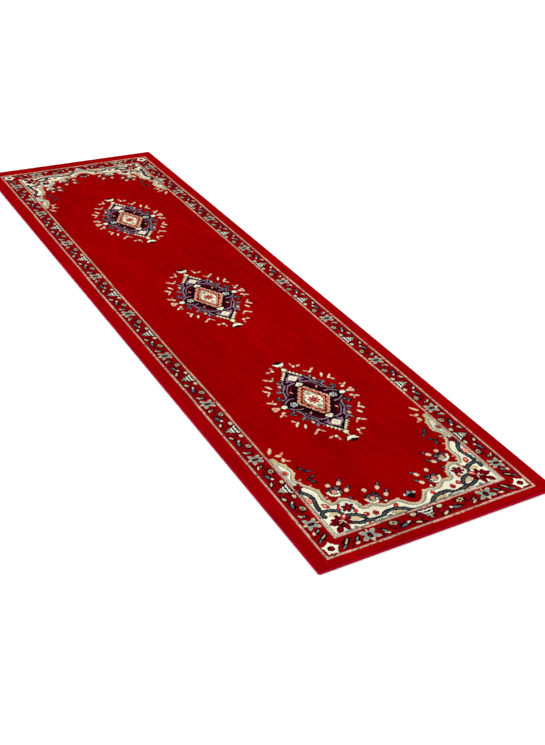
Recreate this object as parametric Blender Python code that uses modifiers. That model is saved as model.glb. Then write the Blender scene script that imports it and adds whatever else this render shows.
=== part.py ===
"""Runner rug, 0.70 x 2.50 m: latex coat, woven ground, overlocked edges and a cut pile laid out in its zones.

The rug lies flat on its coat. +Y runs along its length, +X across it and +Z up, with the origin in the middle
of the underside.
"""

from math import hypot

import bpy

# Whole rug
WIDTH = 0.700
LENGTH = 2.500
GAP = 0.0003  # between touching pieces

# Layers, from the floor up
COAT_THICK = 0.0009
WEAVE_THICK = 0.0016
PILE_TOP = 0.0080
WEAVE_BASE = COAT_THICK + GAP
PILE_BASE = WEAVE_BASE + WEAVE_THICK + GAP

# Overlocked edge: a yarn wrapping that holds the margin of the weave in a groove
EDGE_WIDTH = 0.0060
EDGE_HEIGHT = 0.0066
EDGE_ROUND = 0.0014
WEAVE_TUCK = 0.0040  # how far the weave reaches into the groove

# Zones of the pile, as half widths across the rug and half lengths along it
FIELD_HALF = (0.248, 1.150)
STRIPE = 0.008
BORDER = 0.046
PATTERN_SHIFT = -0.012  # the loom's cut leaves the pattern nearer to one end

# Medallions
MEDALLION_STEP = 0.646
MEDALLION_QUARTER = ((0.034, 0.212), (0.100, 0.152), (0.140, 0.070))

# A spandrel's edge on the field side, as distances in from the field's corner: across, along
SPANDREL_EDGE = (
    (FIELD_HALF[0], 0.072),
    (0.210, 0.130),
    (0.092, 0.246),
    (0.058, 0.330),
    (0.034, 0.366),
    (0.0, 0.366),
)

ENDS = (("near", -1), ("far", 1))
SIDES = (("left", -1), ("right", 1))

# Name: (colour, roughness)
FINISHES = {
    "latex": ((0.62, 0.57, 0.47), 0.75),
    "jute": ((0.47, 0.34, 0.19), 0.92),
    "edge_yarn": ((0.50, 0.0, 0.035), 0.85),
    "red_pile": ((0.32, 0.0, 0.002), 0.90),
    "band_pile": ((0.44, 0.0, 0.008), 0.90),
    "salmon_pile": ((0.80, 0.36, 0.25), 0.90),
    "border_pile": ((0.34, 0.0, 0.004), 0.90),
    "medallion_pile": ((0.10, 0.01, 0.02), 0.90),
    "cream_pile": ((0.86, 0.80, 0.60), 0.90),
}


def clear_scene():
    for item in list(bpy.data.objects):
        bpy.data.objects.remove(item)


def new_collection(name):
    collection = bpy.data.collections.new(name)
    bpy.context.scene.collection.children.link(collection)
    return collection


def move_to(item, collection):
    for old in list(item.users_collection):
        old.objects.unlink(item)
    collection.objects.link(item)


def finish_material(name):
    if name in bpy.data.materials:
        return bpy.data.materials[name]
    colour, roughness = FINISHES[name]
    material = bpy.data.materials.new(name)
    material.use_nodes = True
    shader = material.node_tree.nodes["Principled BSDF"]
    shader.inputs["Base Color"].default_value = (*colour, 1.0)
    shader.inputs["Roughness"].default_value = roughness
    shader.inputs["Metallic"].default_value = 0.0
    return material


def add_box(name, low, high, collection):
    """A box between two corners, with its scale applied."""
    size = [b - a for a, b in zip(low, high)]
    middle = [(a + b) / 2 for a, b in zip(low, high)]
    bpy.ops.mesh.primitive_cube_add(size=1.0, location=middle)
    box = bpy.context.object
    box.name = name
    box.scale = size
    bpy.ops.object.transform_apply(location=False, rotation=False, scale=True)
    move_to(box, collection)
    return box


def add_outline(name, outlines, low, high, collection):
    """A slab from closed outlines, where an outline inside another is a hole."""
    curve = bpy.data.curves.new(name, "CURVE")
    curve.dimensions = "2D"
    curve.fill_mode = "BOTH"
    curve.extrude = (high - low) / 2
    for points in outlines:
        spline = curve.splines.new("POLY")
        spline.points.add(len(points) - 1)
        for point, (x, y) in zip(spline.points, points):
            point.co = (x, y, 0.0, 1.0)
        spline.use_cyclic_u = True
    slab = bpy.data.objects.new(name, curve)
    slab.location.z = (low + high) / 2
    collection.objects.link(slab)
    return slab


def finish(item, finish_name):
    item.data.materials.append(finish_material(finish_name))
    return item


def moved_in(points, distance):
    """An anticlockwise outline whose every edge is moved inwards, or outwards for a negative distance."""
    count = len(points)
    lines = []
    for i in range(count):
        (ax, ay), (bx, by) = points[i], points[(i + 1) % count]
        run = hypot(bx - ax, by - ay)
        nx, ny = (ay - by) / run, (bx - ax) / run
        lines.append((ax + nx * distance, ay + ny * distance, (bx - ax) / run, (by - ay) / run))
    corners = []
    for i in range(count):
        px, py, pu, pv = lines[i - 1]
        qx, qy, qu, qv = lines[i]
        cross = pu * qv - pv * qu
        along = ((qx - px) * qv - (qy - py) * qu) / cross
        corners.append((px + pu * along, py + pv * along))
    return corners


def anticlockwise(points):
    area = sum(
        a[0] * b[1] - b[0] * a[1] for a, b in zip(points, points[1:] + points[:1])
    )
    return points if area > 0 else points[::-1]


def medallion_outline(centre_y):
    quarter = list(MEDALLION_QUARTER)
    points = [(x, y) for x, y in quarter]
    points += [(x, -y) for x, y in reversed(quarter)]
    points += [(-x, -y) for x, y in quarter]
    points += [(-x, y) for x, y in reversed(quarter)]
    return anticlockwise([(x, y + centre_y) for x, y in points])


def spandrel_outline(side, end):
    """The corner of the field that one spandrel fills."""
    corner_x, corner_y = FIELD_HALF
    points = [(0.0, 0.0), (corner_x, 0.0), *SPANDREL_EDGE]
    placed = [
        (side * (corner_x - across), PATTERN_SHIFT + end * (corner_y - along))
        for across, along in points
    ]
    return anticlockwise(placed)


def field_outline():
    """The field's outer edge, which steps round the spandrels at both ends."""
    corner_x, corner_y = FIELD_HALF
    edge = []
    for side, end in ((1, -1), (1, 1), (-1, 1), (-1, -1)):
        run = [
            (side * (corner_x - across), PATTERN_SHIFT + end * (corner_y - along))
            for across, along in SPANDREL_EDGE
        ]
        edge += run if side * end < 0 else run[::-1]
    points = []
    for point in edge:
        if not points or hypot(point[0] - points[-1][0], point[1] - points[-1][1]) > GAP:
            points.append(point)
    if hypot(points[0][0] - points[-1][0], points[0][1] - points[-1][1]) <= GAP:
        points.pop()
    return anticlockwise(points)


def backing(collection):
    """The latex coat on the underside, and the woven ground that it binds."""
    x, y = WIDTH / 2 - EDGE_WIDTH - GAP, LENGTH / 2 - EDGE_WIDTH - GAP
    coat = add_box("backing_coat", (-x, -y, 0.0), (x, y, COAT_THICK), collection)
    finish(coat, "latex")
    x, y = x + WEAVE_TUCK, y + WEAVE_TUCK
    top = WEAVE_BASE + WEAVE_THICK
    weave = add_box("ground_weave", (-x, -y, WEAVE_BASE), (x, y, top), collection)
    finish(weave, "jute")


def overlocked_edge(name, low, high, groove_low, groove_high, collection, cutters):
    """One run of the overlock: a rounded bar with a groove for the weave's margin."""
    bar = add_box(name, low, high, collection)
    bevel = bar.modifiers.new("rounded", "BEVEL")
    bevel.width = EDGE_ROUND
    bevel.segments = 3
    bevel.limit_method = "ANGLE"
    groove = add_box(name + "_groove", groove_low, groove_high, cutters)
    groove.hide_render = True
    groove.display_type = "WIRE"
    cut = bar.modifiers.new("groove", "BOOLEAN")
    cut.operation = "DIFFERENCE"
    cut.solver = "EXACT"
    cut.object = groove
    finish(bar, "edge_yarn")


def overlocking(collection, cutters):
    """Four runs: the long sides over the full length, and the ends between them."""
    low_z = WEAVE_BASE - GAP
    high_z = WEAVE_BASE + WEAVE_THICK + GAP
    outer_x, outer_y = WIDTH / 2, LENGTH / 2
    inner_x, inner_y = outer_x - EDGE_WIDTH, outer_y - EDGE_WIDTH
    depth = WEAVE_TUCK
    for name, side in SIDES:
        xs = sorted((side * inner_x, side * outer_x))
        groove_xs = sorted((side * (inner_x - EDGE_WIDTH), side * (inner_x + depth)))
        groove_y = inner_y + depth
        overlocked_edge(
            f"overlock_{name}",
            (xs[0], -outer_y, 0.0),
            (xs[1], outer_y, EDGE_HEIGHT),
            (groove_xs[0], -groove_y, low_z),
            (groove_xs[1], groove_y, high_z),
            collection,
            cutters,
        )
    for name, end in ENDS:
        ys = sorted((end * inner_y, end * outer_y))
        groove_ys = sorted((end * (inner_y - EDGE_WIDTH), end * (inner_y + depth)))
        overlocked_edge(
            f"overlock_{name}",
            (-inner_x + GAP, ys[0], 0.0),
            (inner_x - GAP, ys[1], EDGE_HEIGHT),
            (-outer_x, groove_ys[0], low_z),
            (outer_x, groove_ys[1], high_z),
            collection,
            cutters,
        )


def pile_frame(label, finish_name, inner, outer_x, outer_near, outer_far, collection):
    """One frame of pile round the field: long strips on the sides and short ones across the ends."""
    inner_x, inner_y = inner
    half = GAP / 2
    for name, side in SIDES:
        xs = sorted((side * (inner_x + half), side * (outer_x - half)))
        low = (xs[0], outer_near + half, PILE_BASE)
        high = (xs[1], outer_far - half, PILE_TOP)
        finish(add_box(f"{label}_{name}", low, high, collection), finish_name)
    for name, end in ENDS:
        outer_y = outer_far if end > 0 else outer_near
        inner_edge = PATTERN_SHIFT + end * inner_y
        ys = sorted((inner_edge + end * half, outer_y - end * half))
        low = (-inner_x + half, ys[0], PILE_BASE)
        high = (inner_x - half, ys[1], PILE_TOP)
        finish(add_box(f"{label}_{name}", low, high, collection), finish_name)


def pile_frames(collection):
    """From the field outwards: inner guard stripe, border, outer guard stripe and plain outer band."""
    x, y = FIELD_HALF
    for label, finish_name, width in (
        ("inner_stripe", "salmon_pile", STRIPE),
        ("border", "border_pile", BORDER),
        ("outer_stripe", "salmon_pile", STRIPE),
    ):
        near, far = PATTERN_SHIFT - y - width, PATTERN_SHIFT + y + width
        pile_frame(label, finish_name, (x, y), x + width, near, far, collection)
        x, y = x + width, y + width
    edge_x = WIDTH / 2 - EDGE_WIDTH - GAP / 2
    edge_y = LENGTH / 2 - EDGE_WIDTH - GAP / 2
    pile_frame("outer_band", "band_pile", (x, y), edge_x, -edge_y, edge_y, collection)


def pile_field(collection):
    """The plain red field, with openings that its three medallions fill."""
    half = GAP / 2
    places = (("near", -1), ("middle", 0), ("far", 1))
    holes = []
    for name, step in places:
        outline = medallion_outline(PATTERN_SHIFT + step * MEDALLION_STEP)
        holes.append(moved_in(outline, -half))
        medallion = add_outline(
            f"medallion_{name}", [moved_in(outline, half)], PILE_BASE, PILE_TOP, collection
        )
        finish(medallion, "medallion_pile")
    outlines = [moved_in(field_outline(), half), *holes]
    field = add_outline("field", outlines, PILE_BASE, PILE_TOP, collection)
    finish(field, "red_pile")


def pile_spandrels(collection):
    """The four corners of the field, two to an end, which meet on the rug's centre line."""
    for end_name, end in ENDS:
        for side_name, side in SIDES:
            outline = moved_in(spandrel_outline(side, end), GAP / 2)
            name = f"spandrel_{end_name}_{side_name}"
            spandrel = add_outline(name, [outline], PILE_BASE, PILE_TOP, collection)
            finish(spandrel, "cream_pile")


def build():
    clear_scene()
    rug = new_collection("runner_rug")
    cutters = new_collection("cutters")
    backing(rug)
    overlocking(rug, cutters)
    pile_frames(rug)
    pile_field(rug)
    pile_spandrels(rug)


build()
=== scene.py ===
import math

import bpy
import numpy as np
from mathutils import Matrix, Vector


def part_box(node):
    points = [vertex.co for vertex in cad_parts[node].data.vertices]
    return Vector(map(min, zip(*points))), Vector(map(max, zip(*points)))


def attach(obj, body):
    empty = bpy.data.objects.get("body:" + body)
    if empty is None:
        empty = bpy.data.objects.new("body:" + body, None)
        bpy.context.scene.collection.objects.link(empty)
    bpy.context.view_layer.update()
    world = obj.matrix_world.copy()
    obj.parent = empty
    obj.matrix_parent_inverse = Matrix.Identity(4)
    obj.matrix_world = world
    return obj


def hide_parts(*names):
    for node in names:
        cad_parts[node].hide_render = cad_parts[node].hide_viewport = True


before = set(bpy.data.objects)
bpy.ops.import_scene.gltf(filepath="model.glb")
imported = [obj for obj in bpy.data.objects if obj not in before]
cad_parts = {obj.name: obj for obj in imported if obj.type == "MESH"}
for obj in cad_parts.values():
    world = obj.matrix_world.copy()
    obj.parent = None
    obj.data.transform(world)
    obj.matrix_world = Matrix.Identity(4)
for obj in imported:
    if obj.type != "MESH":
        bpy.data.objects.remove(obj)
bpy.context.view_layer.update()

mm = 0.001  # the pattern is worked in millimetres, the meshes in metres
print("frame loaded:", len(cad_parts), "nodes")

# the plan of the rug in millimetres; the pattern's centre sits a little towards the near end
rug = {"knot": 2.0, "shift": -12.0, "fieldX": 248.0, "fieldY": 1150.0, "stripe": 8.0, "border": 46.0,
       "medallionStep": 646.0, "pileX": 344.0, "pileY": 1244.0}
medallionQuarter = [(34, 212), (100, 152), (140, 70)]
spandrelZone = [(0, 0), (248, 0), (248, 72), (210, 130), (92, 246), (58, 330), (34, 366), (0, 366)]
medallionZone = (medallionQuarter + [(x, -y) for x, y in reversed(medallionQuarter)]
                 + [(-x, -y) for x, y in medallionQuarter] + [(-x, y) for x, y in reversed(medallionQuarter)])

# how each yarn looks in daylight, as screen values from 0 to 255
yarnColours = {
    "fieldRed": (156, 0, 2), "bandRed": (162, 0, 5), "borderRed": (150, 0, 6),
    "cream": (255, 250, 220), "ivory": (240, 244, 228), "shell": (255, 230, 198), "dove": (136, 130, 144),
    "blush": (246, 200, 172),
    "rose": (220, 162, 148), "roseEdge": (136, 70, 64), "salmon": (232, 146, 128), "orange": (240, 146, 106),
    "tan": (206, 188, 138), "beige": (222, 198, 160), "sage": (148, 160, 146), "teal": (58, 78, 80),
    "slate": (104, 108, 114), "lilac": (170, 126, 148), "maroon": (92, 2, 20), "black": (26, 4, 10),
    "coral": (206, 60, 46), "crimson": (140, 0, 14),
    "serging": (188, 2, 36), "jute": (176, 142, 96), "latex": (214, 200, 176),
}
yarnNames = list(yarnColours)


def turned(cloth, at, turn):
    u, v = cloth["u"] - at[0], cloth["v"] - at[1]
    c, s = np.cos(np.radians(turn)), np.sin(np.radians(turn))
    return u * c + v * s, v * c - u * s


def lay(cloth, mask, yarn):
    cloth["yarn"][mask] = yarnNames.index(yarn)


rimBoldness = 1.75  # how much bolder than written every rim is tied


def withRim(draw):
    def drawn(cloth, yarn, *shape, rim=None, **more):
        if rim:
            lay(cloth, draw(cloth, *shape, grow=rim[1] * rimBoldness, **more), rim[0])
        lay(cloth, draw(cloth, *shape, grow=0.0, **more), yarn)
    return drawn


@withRim
def blob(cloth, at, size, turn=0, grow=0.0):
    u, v = turned(cloth, at, turn)
    return (u / (size[0] + grow)) ** 2 + (v / (size[1] + grow)) ** 2 < 1


@withRim
def leaf(cloth, at, size, turn=0, grow=0.0):
    u, v = turned(cloth, at, turn)
    half, wide = size[0] + grow, size[1] + grow
    return (np.abs(u) < half) & (np.abs(v) < wide * (1 - (u / half) ** 2))


@withRim
def diamond(cloth, at, size, turn=0, grow=0.0):
    u, v = turned(cloth, at, turn)
    return np.abs(u) / (size[0] + grow) + np.abs(v) / (size[1] + grow) < 1


@withRim
def blossom(cloth, at, size, petals, turn=0, depth=0.35, pointed=False, grow=0.0):
    u, v = turned(cloth, at, turn)
    u, v = u / (size[0] + grow), v / (size[1] + grow)
    half = petals * np.arctan2(v, u) / 2
    ripple = 1 - np.abs(np.sin(half)) if pointed else np.abs(np.cos(half))
    return np.hypot(u, v) < 1 - depth + depth * ripple


def scatter(ix, iy, seed):
    n = np.sin(ix * 12.9898 + iy * 78.233 + seed * 37.719) * 43758.5453
    return 2 * (n - np.floor(n)) - 1


# some knots of one yarn are tied in another
def speckle(cloth, yarn, other, share, seed=1):
    lucky = scatter(np.floor(cloth["u"] / 2), np.floor(cloth["v"] / 2), seed) < 2 * share - 1
    cloth["yarn"][(cloth["yarn"] == yarnNames.index(yarn)) & lucky] = yarnNames.index(other)


def throughPoints(points, steps=6):
    p = np.array(points, float)
    p = np.vstack([2 * p[0] - p[1], p, 2 * p[-1] - p[-2]])
    t = np.linspace(0, 1, steps, endpoint=False)[:, None]
    runs = []
    for a, b, c, d in zip(p, p[1:], p[2:], p[3:]):
        bend, twist = 2 * a - 5 * b + 4 * c - d, 3 * b - a - 3 * c + d
        runs.append(0.5 * (2 * b + (c - a) * t + bend * t**2 + twist * t**3))
    return np.vstack([*runs, p[-2]])


@withRim
def stem(cloth, points, width, smooth=True, grow=0.0):
    line = throughPoints(points) if smooth and len(points) > 2 else np.array(points, float)
    reach = width / 2 + grow
    near = np.zeros(len(cloth["u"]), bool)
    for a, b in zip(line, line[1:]):
        run = b - a
        long = max(float(run @ run), 1e-9)
        share = np.clip(((cloth["u"] - a[0]) * run[0] + (cloth["v"] - a[1]) * run[1]) / long, 0, 1)
        near |= np.hypot(cloth["u"] - a[0] - share * run[0], cloth["v"] - a[1] - share * run[1]) < reach
    return near


def inside(u, v, points):
    within = np.zeros(len(u), bool)
    for (ax, ay), (bx, by) in zip(points, points[1:] + points[:1]):
        crosses = (ay > v) != (by > v)
        within ^= crosses & (u < (bx - ax) * (v - ay) / ((by - ay) or 1e-9) + ax)
    return within


def patch(cloth, yarn, points, smooth=False):
    points = [tuple(p) for p in throughPoints(points)] if smooth else points
    lay(cloth, inside(cloth["u"], cloth["v"], points), yarn)


# half of it, beside s = 0; the fold gives the other half
def palmette(cloth):
    dark = ("maroon", 1.0)
    stem(cloth, "beige", [(0, 3), (0, 10)], 4, rim=("maroon", 1.0))
    leaf(cloth, "beige", (10.5, 11.5), (8.5, 5.4), -46, rim=dark)
    leaf(cloth, "beige", (11.5, 31), (10, 5.4), 30, rim=dark)
    leaf(cloth, "beige", (0, 34), (8.5, 5), 90, rim=dark)
    leaf(cloth, "sage", (7.5, 15), (9.5, 5.6), -46)
    leaf(cloth, "sage", (8.5, 29), (10, 5.6), 30)
    blob(cloth, "sage", (0, 23), (10, 11))
    blob(cloth, "teal", (0, 23), (5.8, 10.5))
    blob(cloth, "black", (0, 23), (4.8, 9.4))
    blob(cloth, "crimson", (0, 24), (2, 4))
    leaf(cloth, "tan", (0, 42), (3, 2.4), 90)


def whiteFlower(cloth, s=136.5):
    dark = ("black", 1.8)
    leaf(cloth, "sage", (s, 28), (9, 3.4), 90, rim=dark)
    leaf(cloth, "tan", (s - 5.5, 25), (4.6, 1.8), 40, rim=("black", 1.0))
    stem(cloth, "ivory", [(s - 10, 14), (s - 6, 18), (s, 16.5), (s + 6, 18)], 3.8, rim=dark)
    stem(cloth, "ivory", [(s - 15, 4.5), (s - 10, 8.5), (s - 5, 6), (s, 8.5), (s + 5, 6)], 4.2, rim=dark)
    stem(cloth, "ivory", [(s, 20), (s, 28)], 2.0)


def daisy(cloth, at, size):
    blossom(cloth, "tan", at, size, 6, 20, depth=0.5, rim=("black", 2.0))
    blossom(cloth, "sage", at, (size[0] - 2.6, size[1] - 2.6), 6, 20, depth=0.5)
    blob(cloth, "black", at, (size[0] * 0.36, size[1] * 0.36))


# s runs along the border from a palmette, t outwards from the inner stripe
def borderRepeat(cloth):
    vine = "maroon"
    stem(cloth, vine, [(6, 42), (20, 36), (40, 20), (60, 12)], 2.4)
    stem(cloth, vine, [(45, 18), (60, 30), (76, 31), (95, 26), (118, 14), (130, 14)], 2.4)
    stem(cloth, vine, [(92, 28), (105, 38), (122, 43)], 2.4)
    for s, t, turn in ((22, 41, -20), (40, 38, 50), (47, 12, 15), (52, 30, 30), (62, 36, -10),
                       (66, 17, 60), (80, 18, -25), (94, 34, 40), (96, 14, -30),
                       (112, 15, 70), (118, 40, 20), (128, 33, -60)):
        leaf(cloth, "black", (s, t), (5.4, 2.0), turn)
    palmette(cloth)
    leaf(cloth, "blush", (34, 33), (7.5, 3.2), 38, rim=("black", 1.4))
    leaf(cloth, "black", (29, 36), (6, 2.4), 10)
    blob(cloth, "black", (28, 20), (8, 6), 35)
    leaf(cloth, "crimson", (27, 20), (5.4, 2.6), 35)
    leaf(cloth, "sage", (32, 25), (6, 1.8), 60, rim=("black", 1.2))
    leaf(cloth, "black", (46, 22), (8, 2.2), -40)
    daisy(cloth, (58, 11.5), (9.5, 7))
    leaf(cloth, "black", (70, 9), (6, 2.6), 30)
    leaf(cloth, "slate", (76, 30), (10.5, 3.6), -16, rim=("black", 2.2))
    leaf(cloth, "ivory", (87, 24), (4.4, 2.6), -40, rim=("black", 1.2))
    leaf(cloth, "black", (68, 25), (8, 2.6), -30)
    leaf(cloth, "black", (84, 34), (6, 2.2), 20)
    blob(cloth, "beige", (106, 7.5), (6.6, 5.4), 0, rim=("black", 1.6))
    leaf(cloth, "beige", (105, 36), (8, 3.4), 34, rim=("black", 2.2))
    leaf(cloth, "black", (114, 31), (6, 2.4), -30)
    leaf(cloth, "maroon", (118, 22), (7, 3), 20)
    whiteFlower(cloth)


def borderToCorner(cloth):
    stem(cloth, "maroon", [(6, 42), (24, 30), (45, 22), (60, 20)], 2.4)
    for s, t, turn in ((20, 40, -20), (38, 14, 30), (44, 38, 60), (58, 22, 0)):
        leaf(cloth, "black", (s, t), (5.4, 2.0), turn)
    palmette(cloth)
    leaf(cloth, "blush", (32, 34), (6.4, 4), 20, rim=("black", 1.0))
    leaf(cloth, "sage", (27, 21), (8, 1.8), 52, rim=("black", 2.6))
    leaf(cloth, "black", (37, 26), (6, 2.2), 20)
    leaf(cloth, "tan", (50, 20), (12, 1.8), 56, rim=("black", 3.2))
    leaf(cloth, "slate", (60, 34), (8, 2.2), 42, rim=("black", 2.2))


def cornerFlower(cloth):
    blossom(cloth, "cream", (25, 25), (22.5, 22.5), 5, 44, depth=0.42, pointed=True, rim=("black", 1.6))
    blob(cloth, "cream", (25, 25), (16, 16))
    stem(cloth, "black", [(14, 45), (25, 48), (36, 43)], 2.6)
    blob(cloth, "black", (25, 25.5), (9.4, 8.8), 10)
    blob(cloth, "crimson", (24.4, 26), (5.4, 5), 10)


borderRepeats = {"pitch": 273.0, "whole": 4, "endPalmette": 173.0, "endStretch": 1.267}


# x and y are from the pattern's centre, for knots of the main border
def weaveBorder(x, y):
    yarn = np.full(len(x), yarnNames.index("borderRed"))
    ax, ay = np.abs(x), np.abs(y)
    inX, inY = rug["fieldX"] + rug["stripe"], rug["fieldY"] + rug["stripe"]
    cornerKnots = (ax > inX) & (ay > inY)
    side = (ax > inX) & (ay <= inY)
    end = ax <= inX
    pitch, palmetteX = borderRepeats["pitch"], borderRepeats["endPalmette"]
    s = np.abs((ay + pitch / 2) % pitch - pitch / 2)
    last = borderRepeats["whole"] * pitch
    stretch = borderRepeats["endStretch"]
    for pick, fn, along, out in (
        (side & (ay <= last), borderRepeat, s, ax - inX),
        (side & (ay > last), borderToCorner, ay - last, ax - inX),
        (end & (ax <= palmetteX), borderRepeat, (palmetteX - ax) / stretch, ay - inY),
        (end & (ax > palmetteX), borderToCorner, (ax - palmetteX) / stretch, ay - inY),
        (cornerKnots, cornerFlower, ax - inX, ay - inY),
    ):
        cloth = {"u": along[pick], "v": out[pick], "yarn": yarn[pick]}
        fn(cloth)
        speckle(cloth, "borderRed", "crimson", 0.18, 24)
        speckle(cloth, "borderRed", "maroon", 0.05, 25)
        yarn[pick] = cloth["yarn"]
    return yarn


# x and y are from the medallion's centre; one quarter is drawn and mirrored
def weaveMedallion(x, y):
    c = {"u": np.abs(x), "v": np.abs(y), "yarn": np.full(len(x), yarnNames.index("fieldRed"))}
    # body
    patch(c, "black", [(0, 160), (14, 146), (40, 108), (50, 84), (66, 60), (70, 36), (82, 20), (84, 0),
                       (0, 0)])
    speckle(c, "black", "maroon", 0.10, 21)
    # serrated cream tip
    stem(c, "tan", [(0, 158), (40, 107)], 8.0, smooth=False, rim=("black", 2.0))
    for k in range(6):
        share = (k + 0.2) / 6
        leaf(c, "cream", (2 + 41 * share, 160 - 52 * share), (5.4, 2.6), 62)
        blob(c, "sage", (5 + 41 * share, 153 - 52 * share), (1.4, 1.8))
    stem(c, "black", [(0, 148), (36, 102)], 9, smooth=False)
    blob(c, "tan", (0, 165), (8.4, 9), rim=("black", 1.6))
    blob(c, "cream", (0, 166), (5, 6))
    stem(c, "tan", [(0, 173), (0, 179)], 3)
    # shield and its flower
    stem(c, "lilac", [(0, 137), (6, 128), (18, 119), (22, 110), (14, 101)], 5, rim=("black", 1.2))
    stem(c, "lilac", [(16, 112), (27, 105)], 4.4)
    blossom(c, "cream", (0, 117), (14, 13.5), 4, 0, depth=0.25, rim=("lilac", 1.8))
    blossom(c, "tan", (0, 117), (7, 7), 4, 0)
    blob(c, "cream", (0, 117), (3, 3))
    stem(c, "lilac", [(9, 92), (20, 92), (32, 88), (43, 92)], 3.8, rim=("black", 3.0))
    diamond(c, "cream", (0, 81), (12.5, 12.5), rim=("black", 3.0))
    blob(c, "tan", (0, 80), (4, 4))
    # scrolled flank
    flank = [(36, 112), (44, 100), (42, 90), (50, 78), (60, 66), (63, 50), (66, 38), (76, 26)]
    stem(c, "lilac", flank, 4.4, rim=("black", 2.6))
    stem(c, "dove", [(46, 90), (51, 80), (61, 66), (65, 50), (68, 38), (78, 27)], 2.6)
    speckle(c, "lilac", "dove", 0.3, 8)
    stem(c, "lilac", [(30, 92), (40, 78), (50, 62), (55, 46)], 2.4)
    stem(c, "crimson", [(24, 84), (36, 68), (46, 52)], 2.2)
    leaf(c, "dove", (51, 107), (11, 4.0), 62, rim=("black", 1.2))
    leaf(c, "dove", (71, 68), (10, 4.6), 28, rim=("black", 1.2))
    leaf(c, "dove", (58, 88), (8, 3.6), 60, rim=("black", 1.2))
    leaf(c, "teal", (65, 80), (6, 2.6), 10)
    stem(c, "dove", [(78, 27), (84, 34), (88, 42), (84, 47)], 4.0, rim=("black", 1.8))
    leaf(c, "teal", (91, 36), (8, 4.2), 60, rim=("black", 1.4))
    blob(c, "blush", (57, 93), (5.0, 5.8), rim=("black", 1.4))
    leaf(c, "dove", (52, 58), (8, 1.8), -62)
    leaf(c, "orange", (41, 54), (7.5, 2.8), 62, rim=("black", 1.6))
    stem(c, "lilac", [(50, 27), (60, 27), (70, 24), (84, 14)], 3.6, rim=("black", 3.0))
    # lateral flowers
    blob(c, "teal", (78, 0), (17, 14))
    blob(c, "black", (66, 0), (21, 17))
    blossom(c, "ivory", (63, 0), (12.5, 11), 6, 0, depth=0.45)
    blossom(c, "slate", (64, 0), (7, 7), 5, 0, depth=0.4)
    blob(c, "ivory", (64, 0), (2, 2))
    blob(c, "black", (81, 5), (4, 5))
    blob(c, "cream", (94, 0), (8.8, 7.4), rim=("black", 1.4))
    speckle(c, "ivory", "sage", 0.25, 4)
    speckle(c, "ivory", "teal", 0.16, 11)
    # wreath of short strokes round the long cream middle
    patch(c, "black", [(0, 76), (15, 72), (30, 50), (42, 28), (50, 6), (50, 0), (0, 0)])
    for k in range(8):
        share = k / 7
        at = (7 + 37 * share, 63 - 60 * share)
        leaf(c, "orange", at, (9.6, 3.6), 112 + 26 * (-1) ** k, rim=("maroon", 0.8))
        leaf(c, "blush", (at[0] + 3, at[1] + 2), (5.6, 1.8), 112 + 26 * (-1) ** k)
    speckle(c, "orange", "coral", 0.22, 14)
    speckle(c, "orange", "blush", 0.16, 15)
    cream = [(0, 49), (9, 45), (18, 32), (24, 13), (26, 0), (0, 0)]
    patch(c, "maroon", [(a * 1.06, b * 1.04) for a, b in cream])
    patch(c, "cream", cream)
    for k in range(7):
        share = k / 6
        yarn = "salmon" if k % 2 else "orange"
        at = (4 + 28 * share, 50 - 48 * share)
        leaf(c, yarn, at, (6.4, 2.2), 100 + 40 * (k % 2), rim=("maroon", 0.7))
    blossom(c, "sage", (0, 32), (10, 9), 6, 90, depth=0.3)
    blob(c, "tan", (0, 32), (5.4, 4.6))
    blob(c, "teal", (0, 32), (2.4, 2))
    leaf(c, "sage", (16, 17), (6, 2.4), 118)
    blossom(c, "crimson", (0, 0), (19, 20), 8, 22, depth=0.45)
    blossom(c, "coral", (0, 0), (16.5, 17.5), 8, 22, depth=0.42)
    speckle(c, "coral", "crimson", 0.3, 3)
    speckle(c, "coral", "blush", 0.18, 16)
    blossom(c, "crimson", (0, 0), (7, 7.5), 4, 0, depth=0.3)
    blob(c, "sage", (0, 0), (2.4, 2.4))
    # loose ring of buds
    speckle(c, "dove", "black", 0.15, 12)

    def bud(yarn, at, size, turn):
        leaf(c, "black", (at[0] - 2.4, at[1] - 2.4), (size[0] * 0.8, size[1]), turn)
        leaf(c, yarn, at, size, turn, rim=("maroon", 0.8))
    patch(c, "black", [(0, 184), (12, 184), (21, 200), (8, 209), (0, 213)])
    patch(c, "cream", [(0, 186), (10, 187), (19, 202), (8, 199), (0, 197)])
    blob(c, "black", (0, 203), (5.4, 6))
    stem(c, "tan", [(0, 182), (0, 187)], 2)
    bud("salmon", (32, 185), (9, 3.0), 84)
    bud("shell", (35, 172), (6, 4.6), 60)
    bud("blush", (50, 171), (8, 3.8), 20)
    bud("blush", (75, 137), (12, 3.6), 36)
    bud("shell", (64, 129), (7, 3.6), 10)
    bud("salmon", (54, 137), (9, 3.2), -50)
    bud("shell", (87, 101), (12, 3.6), 62)
    bud("shell", (104, 86), (11, 3.4), 52)
    bud("shell", (98, 79), (5, 4.0), 90)
    bud("blush", (105, 70), (9, 3.0), -52)
    bud("shell", (122, 33), (9, 2.8), 36)
    bud("salmon", (112, 35), (9, 2.6), 118)
    bud("shell", (110, 24), (6.4, 4.2), 15)
    patch(c, "black", [(104, 0), (107, 5), (128, 15), (135, 11), (135, 0)])
    patch(c, "blush", [(107, 0), (110, 4), (127, 12), (131, 8), (131, 0)])
    blob(c, "orange", (124, 0), (6, 5))
    speckle(c, "blush", "salmon", 0.2, 17)
    return c["yarn"]


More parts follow.
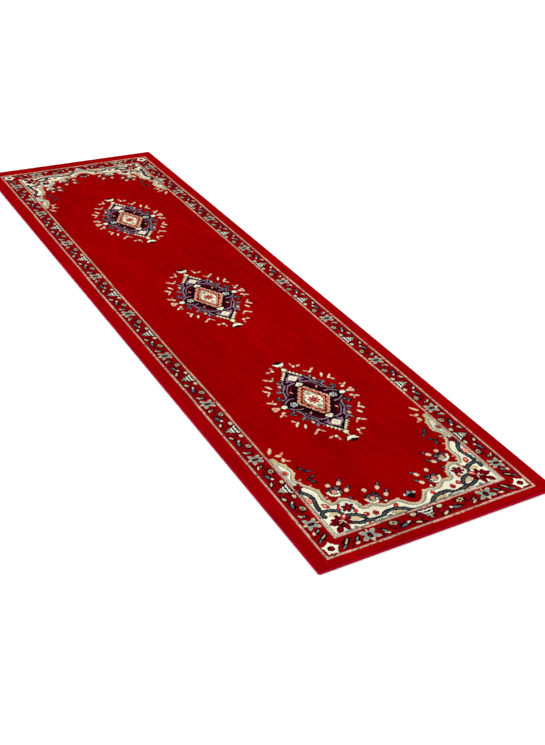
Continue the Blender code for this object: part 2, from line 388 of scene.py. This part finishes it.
spandrelEdge = [(2, 312), (8, 300), (17, 288), (24, 270), (28, 254), (25, 240), (16, 226), (14, 212),
                (19, 198), (29, 184), (38, 172), (45, 156), (45, 138), (43, 124), (48, 110), (54, 101),
                (66, 101), (78, 106), (92, 102), (101, 92), (107, 80), (113, 70), (111, 62), (122, 56),
                (136, 60), (150, 55), (160, 46), (176, 42), (192, 46), (206, 45), (216, 36), (228, 22),
                (240, 15), (252, 12)]


# x and y are in from the field's corner: across the rug, then along it
def weaveSpandrel(x, y):
    c = {"u": x, "v": y, "yarn": np.full(len(x), yarnNames.index("fieldRed"))}
    ground = [(-4, 314), *[tuple(p) for p in throughPoints(spandrelEdge, 3)], (252, -4), (-4, -4)]
    lay(c, inside(c["u"], c["v"], ground), "cream")
    stem(c, "tan", spandrelEdge, 9.5, rim=("maroon", 0.8))
    stem(c, "beige", [(a + 1.6, b + 1.6) for a, b in spandrelEdge], 4.0)
    stem(c, "sage", [(a - 4 * (b > 100 or a < 60), b - 4 * (a > 50)) for a, b in spandrelEdge[2:]], 3.4)
    speckle(c, "tan", "sage", 0.25, 5)
    speckle(c, "beige", "blush", 0.2, 18)
    speckle(c, "cream", "ivory", 0.08, 19)
    speckle(c, "cream", "beige", 0.06, 20)
    for a, b in spandrelEdge[5:-2:3]:
        blob(c, "beige", (a + 3, b + 3), (5, 5))
    # double line beside the stripe
    stem(c, "sage", [(3, 300), (3, 3), (252, 3)], 4.4, smooth=False)
    stem(c, "cream", [(7, 300), (7, 7), (252, 7)], 2.4, smooth=False)
    return c


def finishSpandrel(c):
    # grey-green scroll between dark lines
    scroll = ("black", 1.9)
    for run in ([(1, 176), (10, 164), (18, 152), (21, 138), (18, 122), (14, 106), (13, 92)],
                [(12, 66), (11, 76), (18, 84), (34, 82), (48, 76), (56, 62)],
                [(62, 50), (76, 48), (90, 40), (98, 28), (98, 17), (84, 14), (68, 20), (60, 26)],
                [(98, 16), (110, 12), (128, 10), (144, 12), (152, 20), (166, 22), (184, 21), (200, 15),
                 (212, 6), (222, -3)]):
        stem(c, "teal", run, 6.2, rim=scroll)
    speckle(c, "teal", "black", 0.16, 6)
    speckle(c, "teal", "slate", 0.22, 7)
    # tan leaves framed by the scroll
    leaf(c, "tan", (35, 66), (14, 8), 5)
    leaf(c, "beige", (35, 66), (10, 5), 5)
    leaf(c, "tan", (77, 33), (15, 8), -25)
    leaf(c, "beige", (77, 33), (11, 5), -25)
    # corner palmette
    blossom(c, "crimson", (41, 36), (26, 25), 8, 10, depth=0.38, rim=("black", 1.0))
    leaf(c, "crimson", (22, 14), (14, 7), 45, rim=("black", 1.0))
    leaf(c, "crimson", (18, 38), (12, 5), 8, rim=("black", 1.0))
    leaf(c, "crimson", (42, 13), (10, 5), 95, rim=("black", 1.0))
    speckle(c, "crimson", "maroon", 0.22, 22)
    blob(c, "black", (39, 34), (9, 7), 40)
    for a, b, long, turn in ((32, 22, 9, 60), (24, 33, 8, 10), (54, 26, 8, 125), (36, 52, 7, 100),
                             (50, 38, 6, 20), (20, 20, 7, 45)):
        leaf(c, "black", (a, b), (long, 2.0), turn)
    leaf(c, "coral", (53, 49), (12, 6.0), 48, rim=("maroon", 1.2))
    leaf(c, "blush", (55, 51), (7, 2.8), 48)
    stem(c, "blush", [(36, 41), (45, 39), (48, 28)], 2.8)
    stem(c, "beige", [(33, 33), (42, 36)], 2.4)
    # buds along the band
    leaf(c, "coral", (34, 100), (11, 5.8), 118, rim=("crimson", 1.2))
    leaf(c, "blush", (33, 102), (6, 2.6), 118)
    blob(c, "crimson", (37, 96), (2.4, 2.4))
    blob(c, "coral", (61, 80), (6, 5), 20, rim=("maroon", 1.2))
    leaf(c, "coral", (64, 90), (6, 2.6), 70, rim=("maroon", 1.0))
    blossom(c, "ivory", (81, 74), (24, 19), 6, 20, depth=0.3)
    blossom(c, "crimson", (81, 74), (15, 12), 6, 20, depth=0.42, rim=("black", 2.4))
    speckle(c, "crimson", "maroon", 0.2, 23)
    blob(c, "black", (81, 74), (6, 4.4))
    blob(c, "coral", (81, 74), (3, 2.2))
    leaf(c, "coral", (92, 56), (7, 4.6), 60, rim=("crimson", 1.0))
    blob(c, "coral", (109, 35), (5.6, 5.6), 0, rim=("crimson", 1.4))
    blob(c, "crimson", (110, 34), (3, 3))
    blob(c, "blush", (107, 37), (1.8, 1.8))
    blob(c, "coral", (132, 29), (5.8, 6.4), 0, rim=("crimson", 1.4))
    blob(c, "black", (132, 28), (2.6, 3.2))
    leaf(c, "coral", (192, 31), (7.5, 4.6), 40, rim=("crimson", 1.2))
    blob(c, "blush", (8, 134), (5.6, 9), rim=("coral", 1.6))
    blob(c, "coral", (8, 134), (2.8, 4.4))
    blossom(c, "crimson", (9, 188), (14, 10), 5, 60, depth=0.4, rim=("black", 1.6))
    blob(c, "black", (8, 188), (4, 3.4))
    blob(c, "coral", (7, 250), (6, 8), rim=("sage", 2.4))
    blob(c, "crimson", (7, 250), (2.4, 3.2))
    # small things beside the stripe
    blob(c, "slate", (61, 5), (4.4, 3.4), rim=("sage", 1.2))
    leaf(c, "coral", (99, 5), (5, 3.4), 60)
    stem(c, "slate", [(114, 6), (154, 6)], 5)
    for k in range(7):
        blob(c, "cream", (118 + 5.4 * k, 6), (1.9, 2.2))
    blob(c, "slate", (160, 6), (6, 3.4), -15)
    leaf(c, "tan", (184, 9), (17, 5), -6, rim=("black", 0.8))
    # leaves at the tip
    leaf(c, "tan", (8, 300), (17, 7), 84, rim=("sage", 0.8))
    leaf(c, "tan", (24, 276), (10, 5.4), 64)
    leaf(c, "beige", (18, 346), (16, 4.6), 56)
    leaf(c, "blush", (22, 350), (9, 2.6), 56)
    leaf(c, "beige", (29, 320), (9, 5), -20)
    leaf(c, "salmon", (41, 325), (8, 3.4), 35)
    leaf(c, "beige", (32, 300), (9, 5), 70)
    leaf(c, "salmon", (41, 293), (9, 3.6), -22)
    leaf(c, "sage", (28, 212), (7, 3), 10)
    leaf(c, "salmon", (40, 182), (7, 3), 15)
    leaf(c, "salmon", (52, 127), (7, 3), 0)
    # sprigs
    spike = ("black", 1.8)
    for a, b, long, wide, turn in ((53, 252, 9, 2.4, 118), (66, 236, 8, 2.2, -20), (60, 243, 4, 2, 60),
                                   (62, 212, 9, 2.4, 24), (52, 205, 6, 2.4, 0), (58, 192, 9, 2.2, 122)):
        leaf(c, "slate", (a, b), (long, wide), turn, rim=spike)
        leaf(c, "black", (a - 5, b - 3), (long * 0.6, 1.8), turn + 50)
    # cup flowers
    for cx, cy in ((81, 137), (154, 76)):
        blob(c, "slate", (cx + 12, cy + 8), (9, 9), rim=spike)
        blob(c, "slate", (cx - 6, cy + 10), (7, 6), rim=spike)
        leaf(c, "slate", (cx + 15, cy - 7), (8, 4.4), 60, rim=spike)
        stem(c, "black", [(cx + 4, cy + 4), (cx + 8, cy + 12), (cx + 18, cy + 13)], 3.4)
        leaf(c, "black", (cx + 15, cy + 3), (6, 2), 20)
        stem(c, "black", [(cx - 12, cy + 12), (cx - 2, cy + 16)], 2.4)
        patch(c, "maroon", [(cx - 23, cy + 7), (cx - 16, cy - 12), (cx - 4, cy - 19), (cx + 8, cy - 20),
                            (cx + 14, cy - 13), (cx + 16, cy), (cx, cy + 8)])
        patch(c, "cream", [(cx - 21, cy + 6), (cx - 15, cy - 10), (cx - 4, cy - 17), (cx + 7, cy - 18),
                           (cx + 11, cy - 12), (cx + 13, cy), (cx, cy + 7)])
        stem(c, "black", [(cx - 9, cy + 7), (cx - 9, cy - 3), (cx - 2, cy - 9), (cx + 8, cy - 8)], 3.4)
        blob(c, "blush", (cx - 14, cy + 4), (4, 3))
        blob(c, "salmon", (cx + 1, cy + 2), (7, 6), rim=("maroon", 1.2))
        blob(c, "tan", (cx + 2, cy - 1), (3.4, 3.4))

    def budWithTip(at, turn):
        a = np.radians(turn)
        leaf(c, "slate", (at[0] + 12 * np.cos(a), at[1] + 12 * np.sin(a)), (9, 2.8), turn, rim=spike)
        blob(c, "blush", at, (8, 5.6), turn, rim=("maroon", 1.2))
    blob(c, "blush", (80, 165), (6.2, 6.6), rim=("maroon", 1.2))
    budWithTip((109, 161), 52)
    budWithTip((114, 131), 42)
    blob(c, "blush", (153, 112), (6, 7), rim=("maroon", 1.2))
    budWithTip((188, 107), 54)
    budWithTip((194, 76), 52)
    blob(c, "cream", (180, 55), (3.4, 4.2), rim=("black", 1.6))
    blob(c, "slate", (107, 102), (4.4, 4), 30, rim=("maroon", 2.0))
    # flower in the middle of the end
    diamond(c, "slate", (248, 51), (13, 16), rim=("black", 2.2))
    diamond(c, "black", (248, 47), (10, 12))
    diamond(c, "sage", (248, 58), (5, 6))
    leaf(c, "ivory", (234, 54), (5, 2), 60)
    speckle(c, "slate", "black", 0.28, 26)
    return c["yarn"]


# the loom's small wander, so that straight lines aren't ruled
def drift(x, y):
    dx = 0.9 * np.sin(y / 210 + 1.0) + 0.6 * np.sin(y / 71 + x / 300)
    dy = 0.8 * np.sin(x / 90 + 2.0) + 0.5 * np.sin(x / 37)
    return x + dx, y + dy


stripeCore = (1.6, 6.4)  # the light yarn lies between these across a stripe
farCornerShortening = 1.07
stripeFlecks = (("beige", 0.64, 1.0), ("blush", 0.5, 0.64), ("roseEdge", -1.0, -0.8), ("sage", -0.8, -0.7))


def weave(x, y):
    yarn = np.full(x.shape, yarnNames.index("bandRed"))
    y = y - rug["shift"]
    wx, wy = drift(x, y)
    stripeWidth, borderWidth = rug["stripe"], rug["border"]
    outward = np.maximum(np.abs(wx) - rug["fieldX"], np.abs(wy) - rug["fieldY"])
    outerStripe = stripeWidth + borderWidth
    stripe = (((outward >= 0) & (outward < stripeWidth))
              | ((outward >= outerStripe) & (outward < outerStripe + stripeWidth)))
    yarn[stripe] = yarnNames.index("rose")
    across = np.where(outward < stripeWidth, outward, outward - stripeWidth - borderWidth)
    yarn[stripe & ((across < stripeCore[0]) | (across > stripeCore[1]))] = yarnNames.index("roseEdge")
    rose = yarn == yarnNames.index("rose")
    fleck = scatter(np.floor(x / 4), np.floor(y / 4), 9)
    for name, low, high in stripeFlecks:
        yarn[rose & (fleck >= low) & (fleck < high)] = yarnNames.index(name)
    border = (outward >= stripeWidth) & (outward < outerStripe)
    yarn[border] = weaveBorder(wx[border], wy[border])
    field = outward < 0
    yarn[field] = yarnNames.index("fieldRed")
    # the far corners came out a little shorter than the near ones
    u = rug["fieldX"] - np.abs(wx)
    v = (rug["fieldY"] - np.abs(wy)) * np.where(wy > 0, farCornerShortening, 1.0)
    corner = field & inside(u, v, spandrelZone)
    yarn[corner] = finishSpandrel(weaveSpandrel(u[corner], v[corner]))
    for k in (-1, 0, 1):
        fromCentre = wy - k * rug["medallionStep"]
        medallion = field & inside(wx, fromCentre, medallionZone)
        yarn[medallion] = weaveMedallion(wx[medallion], fromCentre[medallion])
    return yarn


finish = {"light": 1.30, "fibre": 900.0, "tuft": 500.0, "cloud": 30.0, "patchShade": 5.0, "rough": 0.9}


def dyed(name):
    linear = [((v / 255 + 0.055) / 1.055) ** 2.4 if v > 10 else v / 255 / 12.92 for v in yarnColours[name]]
    return [v / finish["light"] for v in linear]


def nodeIn(tree, kind, x, y, **values):
    node = tree.nodes.new(kind)
    node.location = (x, y)
    for key, value in values.items():
        if key in node.inputs:
            node.inputs[key].default_value = value
        else:
            setattr(node, key, value)
    return node


def yarnMaterial(name, fleck=0.22, patchShade=0.13, bump=0.35):
    made = bpy.data.materials.get("yarn_" + name)
    if made:
        return made
    made = bpy.data.materials.new("yarn_" + name)
    made.use_nodes = True
    tree = made.node_tree
    link = tree.links.new
    shader = tree.nodes["Principled BSDF"]
    place = nodeIn(tree, "ShaderNodeTexCoord", -1300, 0)
    # every knot ends in a rounded tuft, with a painted highlight in its middle and painted shade where it
    # meets its neighbours
    centred = nodeIn(tree, "ShaderNodeMapping", -1100, 300, Location=(-0.0007, -0.0007, 0))
    tufts = nodeIn(tree, "ShaderNodeTexVoronoi", -900, 300, voronoi_dimensions="2D", Scale=finish["tuft"],
                   Randomness=0.3)
    fibres = nodeIn(tree, "ShaderNodeTexNoise", -900, 0, Scale=finish["fibre"], Detail=3.0, Roughness=0.7)
    stretch = nodeIn(tree, "ShaderNodeMapping", -1100, -300, Scale=(1.0, 0.35, 1.0))
    shadePatches = nodeIn(tree, "ShaderNodeTexNoise", -900, -300, Scale=finish["patchShade"], Detail=3.0,
                      Roughness=0.55)
    link(place.outputs["Object"], centred.inputs["Vector"])
    link(centred.outputs["Vector"], tufts.inputs["Vector"])
    link(place.outputs["Object"], fibres.inputs["Vector"])
    link(place.outputs["Object"], stretch.inputs["Vector"])
    link(stretch.outputs["Vector"], shadePatches.inputs["Vector"])
    shadeClouds = nodeIn(tree, "ShaderNodeTexNoise", -900, -600, Scale=finish["cloud"], Detail=2.0, Roughness=0.5)
    link(stretch.outputs["Vector"], shadeClouds.inputs["Vector"])
    # painted light and shade on each tuft, then tone from fibre to fibre, then slow patches of painted light
    # and shade where the pile lies another way
    shadeAndTone = nodeIn(tree, "ShaderNodeMapRange", -650, 600)
    for socket, value in (("From Min", 0.1), ("From Max", 0.6), ("To Min", 1.14), ("To Max", 0.74)):
        shadeAndTone.inputs[socket].default_value = value
    link(tufts.outputs["Distance"], shadeAndTone.inputs["Value"])
    shadeAndTone = shadeAndTone.outputs["Result"]
    for row, (noise, amount) in enumerate(((fibres, fleck), (shadeClouds, patchShade * 0.8), (shadePatches, patchShade))):
        spread = nodeIn(tree, "ShaderNodeMapRange", -650, 300 - 300 * row)
        spread.inputs["From Min"].default_value = 0.3
        spread.inputs["From Max"].default_value = 0.7
        spread.inputs["To Min"].default_value = 1 - amount
        spread.inputs["To Max"].default_value = 1 + amount
        link(noise.outputs["Fac"], spread.inputs["Value"])
        both = nodeIn(tree, "ShaderNodeMath", -450, 150 - 300 * row, operation="MULTIPLY")
        link(shadeAndTone, both.inputs[0])
        link(spread.outputs["Result"], both.inputs[1])
        shadeAndTone = both.outputs[0]
    shade = nodeIn(tree, "ShaderNodeVectorMath", -250, 100, operation="SCALE")
    shade.inputs[0].default_value = dyed(name)
    link(shadeAndTone, shade.inputs["Scale"])
    link(shade.outputs["Vector"], shader.inputs["Base Color"])
    rough = nodeIn(tree, "ShaderNodeMapRange", -250, -150)
    rough.inputs["To Min"].default_value = finish["rough"] - 0.1
    rough.inputs["To Max"].default_value = min(finish["rough"] + 0.1, 1.0)
    link(fibres.outputs["Fac"], rough.inputs["Value"])
    link(rough.outputs["Result"], shader.inputs["Roughness"])
    height = nodeIn(tree, "ShaderNodeMath", -450, -500, operation="SUBTRACT")
    link(fibres.outputs["Fac"], height.inputs[0])
    link(tufts.outputs["Distance"], height.inputs[1])
    relief = nodeIn(tree, "ShaderNodeBump", -250, -400, Strength=bump, Distance=0.001)
    link(height.outputs[0], relief.inputs["Height"])
    link(relief.outputs["Normal"], shader.inputs["Normal"])
    shader.inputs["Specular IOR Level"].default_value = 0.0
    peak = max(dyed(name))
    shader.inputs["Sheen Weight"].default_value = 0.06
    shader.inputs["Sheen Roughness"].default_value = 0.4
    shader.inputs["Sheen Tint"].default_value = (*[v / peak for v in dyed(name)], 1)
    return made


pile = {"top": 7.7, "base": 2.9, "tuftHeight": 0.36, "tuftShift": 0.26, "shoulder": 0.6, "shoulderWidth": 1.5,
        "swell": 0.12}


def tufted(ob):
    mesh = ob.data
    co = np.empty(len(mesh.vertices) * 3, np.float32)
    mesh.vertices.foreach_get("co", co)
    co = co.reshape(-1, 3).astype(float)
    x, y, z = co[:, 0] / mm, co[:, 1] / mm, co[:, 2] / mm
    ix, iy = np.round(x), np.round(y)
    upper = (z > pile["base"] + 1).astype(float)
    edge = np.minimum(rug["pileX"] - np.abs(x), rug["pileY"] - np.abs(y))
    z = z + upper * (pile["tuftHeight"] * scatter(ix, iy, 1)
                     - pile["shoulder"] * np.exp(-((np.maximum(edge, 0) / pile["shoulderWidth"]) ** 2))
                     + pile["swell"] * np.sin(x / 31 + 1.3 * np.sin(y / 57)) * np.sin(y / 43 + 0.7))
    x = x + upper * pile["tuftShift"] * scatter(ix, iy, 2) * (edge > 1)
    y = y + upper * pile["tuftShift"] * scatter(ix, iy, 3) * (edge > 1)
    mesh.vertices.foreach_set("co", (np.stack([x, y, z], 1) * mm).astype(np.float32).ravel())
    mesh.update()


def centres(ob):
    c = np.empty(len(ob.data.polygons) * 3, np.float32)
    ob.data.polygons.foreach_get("center", c)
    return c.reshape(-1, 3).astype(float) / mm


def selectFaces(ob, chosen):
    ob.data.vertices.foreach_set("select", np.zeros(len(ob.data.vertices), bool))
    ob.data.edges.foreach_set("select", np.zeros(len(ob.data.edges), bool))
    ob.data.polygons.foreach_set("select", chosen)


def knotBox(node):
    lo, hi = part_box(node)
    knot = rug["knot"]
    return [round(v / mm / knot) * knot for v in (lo[0], hi[0], lo[1], hi[1])]


def flatGrid(name, x0, x1, y0, y1, z, cell):
    bpy.ops.object.select_all(action="DESELECT")
    middle = ((x0 + x1) / 2 * mm, (y0 + y1) / 2 * mm, z * mm)
    bpy.ops.mesh.primitive_grid_add(x_subdivisions=round((x1 - x0) / cell),
                                    y_subdivisions=round((y1 - y0) / cell), size=1, location=middle)
    ob = bpy.context.object
    ob.name = ob.data.name = name
    bpy.ops.object.mode_set(mode="EDIT")
    bpy.ops.transform.resize(value=((x1 - x0) * mm, (y1 - y0) * mm, 1))
    bpy.ops.object.mode_set(mode="OBJECT")
    bpy.ops.object.transform_apply(location=True, rotation=True, scale=True)
    return ob


def pilePiece(name, node, limits=None, outline=None, without=()):
    x0, x1, y0, y1 = limits or knotBox(node)
    ob = flatGrid(name, x0, x1, y0, y1, pile["top"], rug["knot"])
    x, y, _ = centres(ob).T
    cut = np.zeros(len(x), bool)
    if outline:
        cut |= ~inside(x, y, outline)
    for hole in without:
        cut |= inside(x, y, hole)
    if cut.any():
        selectFaces(ob, cut)
        bpy.ops.object.mode_set(mode="EDIT")
        bpy.ops.mesh.select_mode(type="FACE")
        bpy.ops.mesh.delete(type="FACE")
        bpy.ops.object.mode_set(mode="OBJECT")
    # each knot takes its yarn
    x, y, _ = centres(ob).T
    yarns = weave(x, y)
    used = np.unique(yarns)
    for k in used:
        ob.data.materials.append(yarnMaterial(yarnNames[k]))
    ob.data.polygons.foreach_set("material_index", np.searchsorted(used, yarns).astype(np.int32))
    # walls down to the weave, and the closed underside
    bpy.ops.object.mode_set(mode="EDIT")
    bpy.ops.mesh.select_mode(type="EDGE")
    bpy.ops.mesh.select_all(action="DESELECT")
    bpy.ops.mesh.select_non_manifold(extend=False)
    bpy.ops.mesh.extrude_region_move(
        TRANSFORM_OT_translate={"value": (0, 0, (pile["base"] - pile["top"]) * mm)})
    bpy.ops.mesh.fill(use_beauty=False)
    bpy.ops.mesh.select_all(action="SELECT")
    bpy.ops.mesh.normals_make_consistent(inside=False)
    bpy.ops.object.mode_set(mode="OBJECT")
    tufted(ob)
    bpy.ops.object.shade_smooth_by_angle(angle=math.radians(50))
    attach(ob, "root")
    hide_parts(node)
    return ob


def placed(points, signX, signY, cx, cy):
    return [(cx + signX * x, cy + signY * y) for x, y in points]


corners = {"near_left": (1, 1), "near_right": (-1, 1), "far_left": (1, -1), "far_right": (-1, -1)}
cornerOutlines = {}
for place, (sx, sy) in corners.items():
    cornerOutlines[place] = placed(spandrelZone, sx, sy, -sx * rug["fieldX"],
                                   rug["shift"] - sy * rug["fieldY"])
medallions = {"near": -1, "middle": 0, "far": 1}
medallionOutlines = {k: placed(medallionZone, 1, 1, 0, rug["shift"] + n * rug["medallionStep"])
                     for k, n in medallions.items()}

for ring, slotName in (("outer_band", "band_pile"), ("outer_stripe", "salmon_pile"),
                       ("border", "border_pile"), ("inner_stripe", "salmon_pile")):
    for side in ("left", "right", "near", "far"):
        pilePiece(f"pile_{ring}_{side}", f"{ring}_{side}")
print("border pile woven")

spanEnd = rug["medallionStep"] / 2 + 1  # on the knot grid
fieldSpans = {"near": (-rug["fieldY"], -spanEnd), "middle": (-spanEnd, spanEnd),
              "far": (spanEnd, rug["fieldY"])}
for part, (y0, y1) in fieldSpans.items():
    pilePiece(f"pile_field_{part}", "field",
              limits=(-rug["fieldX"], rug["fieldX"], y0 + rug["shift"], y1 + rug["shift"]),
              without=[*medallionOutlines.values(), *cornerOutlines.values()])
for part, outline in medallionOutlines.items():
    pilePiece(f"pile_medallion_{part}", f"medallion_{part}", outline=outline)
for part, outline in cornerOutlines.items():
    pilePiece(f"pile_spandrel_{part}", f"spandrel_{part}", outline=outline)

overlock = {"pitch": 2.5, "yarnAcross": 2.7, "yarnThick": 1.3, "width": 6.0, "height": 6.9, "round": 8,
            "section": 6, "lean": 8.0, "wander": 0.12, "slip": 0.16, "boxy": 3.4, "tube": 0.3,
            "cornerRadius": 3.0, "endExtra": 2.4}


def stitchRow(name, length):
    count = round(length / overlock["pitch"])
    bpy.ops.object.select_all(action="DESELECT")
    bpy.ops.mesh.primitive_torus_add(major_segments=overlock["round"], minor_segments=overlock["section"],
                                     major_radius=1, minor_radius=overlock["tube"],
                                     rotation=(math.pi / 2, 0, 0))
    ob = bpy.context.object
    ob.name = ob.data.name = name
    bpy.ops.object.transform_apply(location=False, rotation=True, scale=False)
    return ob, count


def edgeStrip(name, node, length, ontoEdge):
    ob, count = stitchRow(name, length)
    n = len(ob.data.vertices)
    co = np.empty(n * 3, np.float32)
    ob.data.vertices.foreach_get("co", co)
    co = co.reshape(-1, 3)
    # the round ring becomes one yarn turn: wide along the edge, thin across it, as high as the rug's edge
    ring = np.hypot(co[:, 0], co[:, 2])
    turn = np.arctan2(co[:, 2], co[:, 0])
    out = (ring - 1) / overlock["tube"] * overlock["yarnThick"] / 2
    halfW = overlock["width"] / 2 - overlock["yarnThick"] / 2
    halfH = overlock["height"] / 2 - overlock["yarnThick"] / 2
    power = overlock["boxy"]
    boxy = np.abs(np.cos(turn)) ** power + np.abs(np.sin(turn)) ** power
    boxy = 1 / np.maximum(boxy, 1e-6) ** (1 / power)
    co[:, 0] = (halfW * boxy + out) * np.cos(turn)
    co[:, 2] = (halfH * boxy + out) * np.sin(turn) + overlock["height"] / 2
    lean = np.tan(np.radians(overlock["lean"]))
    co[:, 1] = co[:, 1] / overlock["tube"] * overlock["yarnAcross"] / 2 + lean * co[:, 0]
    ob.data.vertices.foreach_set("co", (co * mm).ravel())
    row = ob.modifiers.new("row", "ARRAY")
    row.count = count
    row.use_relative_offset = False
    row.use_constant_offset = True
    row.constant_offset_displace = (0, length / count * mm, 0)
    bpy.ops.object.modifier_apply(modifier=row.name)
    # no two turns sit quite alike
    core = len(ob.data.vertices)
    co = np.empty(core * 3, np.float32)
    ob.data.vertices.foreach_get("co", co)
    co = co.reshape(-1, 3).astype(float) / mm
    which = np.floor(np.arange(core) / n)
    co[:, 0] += overlock["wander"] * scatter(which, which * 0 + length, 5)
    co[:, 2] += overlock["wander"] * 0.8 * scatter(which, which * 0 + length, 6) * (co[:, 2] > 2)
    co[:, 1] += overlock["slip"] * scatter(which, which * 0 + length, 7) - (length - length / count) / 2
    co = ontoEdge(co)
    co[:, 2] = np.maximum(co[:, 2], 0.0)
    ob.data.vertices.foreach_set("co", (co * mm).astype(np.float32).ravel())
    ob.data.update()
    ob.data.materials.append(yarnMaterial("serging"))
    bpy.ops.object.mode_set(mode="EDIT")
    bpy.ops.mesh.select_all(action="SELECT")
    bpy.ops.mesh.normals_make_consistent(inside=False)
    bpy.ops.object.mode_set(mode="OBJECT")
    bpy.ops.object.shade_smooth()
    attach(ob, "root")
    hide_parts(node)
    return ob


def sideEdge(sign):
    def onto(co):
        across, along = co[:, 0], co[:, 1]
        radius = overlock["cornerRadius"]
        past = np.maximum(np.abs(along) - rug["pileY"], 0) / radius
        x = np.where(past > 0, rug["pileX"] + (radius + across) * np.cos(past),
                     rug["pileX"] + radius + across)
        y = np.where(past > 0, np.sign(along) * (rug["pileY"] + (radius + across) * np.sin(past)), along)
        return np.stack([sign * x, y, co[:, 2]], 1)
    return onto


def endEdge(sign):
    def onto(co):
        return np.stack([co[:, 1], sign * (rug["pileY"] + overlock["cornerRadius"] + co[:, 0]), co[:, 2]], 1)
    return onto


sideLength = 2 * rug["pileY"] + overlock["cornerRadius"] * math.pi
endLength = 2 * rug["pileX"] + overlock["endExtra"]
for side, sign in (("left", -1), ("right", 1)):
    edgeStrip(f"overlocking_{side}", f"overlock_{side}", sideLength, sideEdge(sign))
for side, sign in (("near", -1), ("far", 1)):
    edgeStrip(f"overlocking_{side}", f"overlock_{side}", endLength, endEdge(sign))

weaveSheet = {"width": 695.0, "length": 2495.0, "low": 1.25, "high": 2.7, "cell": 8.0, "wave": 0.25}
backing = {"width": 687.0, "length": 2487.0, "low": 0.0, "high": 0.9, "cell": 6.5, "wave": 0.25}


def wovenSheet(name, node, size, material):
    x1, y1 = size["width"] / 2, size["length"] / 2
    ob = flatGrid(name, -x1, x1, -y1, y1, size["low"], size["cell"])
    co = np.empty(len(ob.data.vertices) * 3, np.float32)
    ob.data.vertices.foreach_get("co", co)
    co = co.reshape(-1, 3)
    i, j = [np.round((co[:, k] / mm + size[way] / 2) / (size[way] / round(size[way] / size["cell"])))
            for k, way in enumerate(("width", "length"))]
    co[:, 2] += size["wave"] * mm * ((i + j) % 2)
    ob.data.vertices.foreach_set("co", co.ravel())
    thick = ob.modifiers.new("thick", "SOLIDIFY")
    thick.thickness = (size["high"] - size["low"] - size["wave"]) * mm
    thick.offset = 1
    bpy.ops.object.modifier_apply(modifier=thick.name)
    ob.data.materials.append(material)
    bpy.ops.object.shade_smooth_by_angle(angle=math.radians(50))
    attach(ob, "root")
    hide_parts(node)
    return ob


weaving = wovenSheet("ground_weaving", "ground_weave", weaveSheet, yarnMaterial("jute", patchShade=0.06))
wovenSheet("backing_latex", "backing_coat", backing, yarnMaterial("latex", patchShade=0.06))
print("weave and backing laid")

room = {"size": 60.0, "floor": 0.93, "sky": 1.1}
bpy.ops.object.select_all(action="DESELECT")
bpy.ops.mesh.primitive_plane_add(size=room["size"], location=(0, 0, -0.0004))
floor = bpy.context.object
floor.name = "floor"
paper = bpy.data.materials.new("floor_paper")
paper.use_nodes = True
grain = nodeIn(paper.node_tree, "ShaderNodeTexNoise", -500, 0, Scale=3.0)
tone = nodeIn(paper.node_tree, "ShaderNodeMapRange", -300, 0)
tone.inputs["To Min"].default_value = room["floor"]
tone.inputs["To Max"].default_value = room["floor"] + 0.02
paper.node_tree.links.new(grain.outputs["Fac"], tone.inputs["Value"])
paperShader = paper.node_tree.nodes["Principled BSDF"]
paper.node_tree.links.new(tone.outputs["Result"], paperShader.inputs["Base Color"])
paperShader.inputs["Roughness"].default_value = 1.0
paperShader.inputs["Specular IOR Level"].default_value = 0.0
floor.data.materials.append(paper)

world = bpy.data.worlds.new("studio")
bpy.context.scene.world = world
world.use_nodes = True
world.node_tree.nodes["Background"].inputs["Color"].default_value = (1, 1, 1, 1)
world.node_tree.nodes["Background"].inputs["Strength"].default_value = room["sky"]

lamps = {"window": ((-2.6, -0.5, 3.2), 2.4, 45.0), "fill": ((2.4, 1.8, 3.4), 2.6, 30.0)}
for name, (spot, size, power) in lamps.items():
    bpy.ops.object.light_add(type="AREA", location=spot)
    lamp = bpy.context.object
    lamp.name = name
    lamp.data.size = size
    lamp.data.energy = power
    lamp.rotation_mode = "QUATERNION"
    lamp.rotation_quaternion = (Vector((0, 0, 0)) - Vector(spot)).to_track_quat("-Z", "Y")

eye = {"place": (-1.3579, -2.6133, 1.5959), "heading": 30.994, "down": 32.473, "tilt": 3.658, "lens": 49.83,
       "shift": 0.0191}
bpy.ops.object.camera_add(location=eye["place"])
camera = bpy.context.object
camera.name = "camera"
camera.matrix_world = (Matrix.Translation(eye["place"])
                       @ Matrix.Rotation(-math.radians(eye["heading"]), 4, "Z")
                       @ Matrix.Rotation(math.radians(90 - eye["down"]), 4, "X")
                       @ Matrix.Rotation(math.radians(eye["tilt"]), 4, "Z"))
camera.data.lens = eye["lens"]
camera.data.sensor_width = 36
camera.data.shift_x = eye["shift"]
bpy.context.scene.camera = camera
bpy.context.scene.view_settings.view_transform = "Standard"
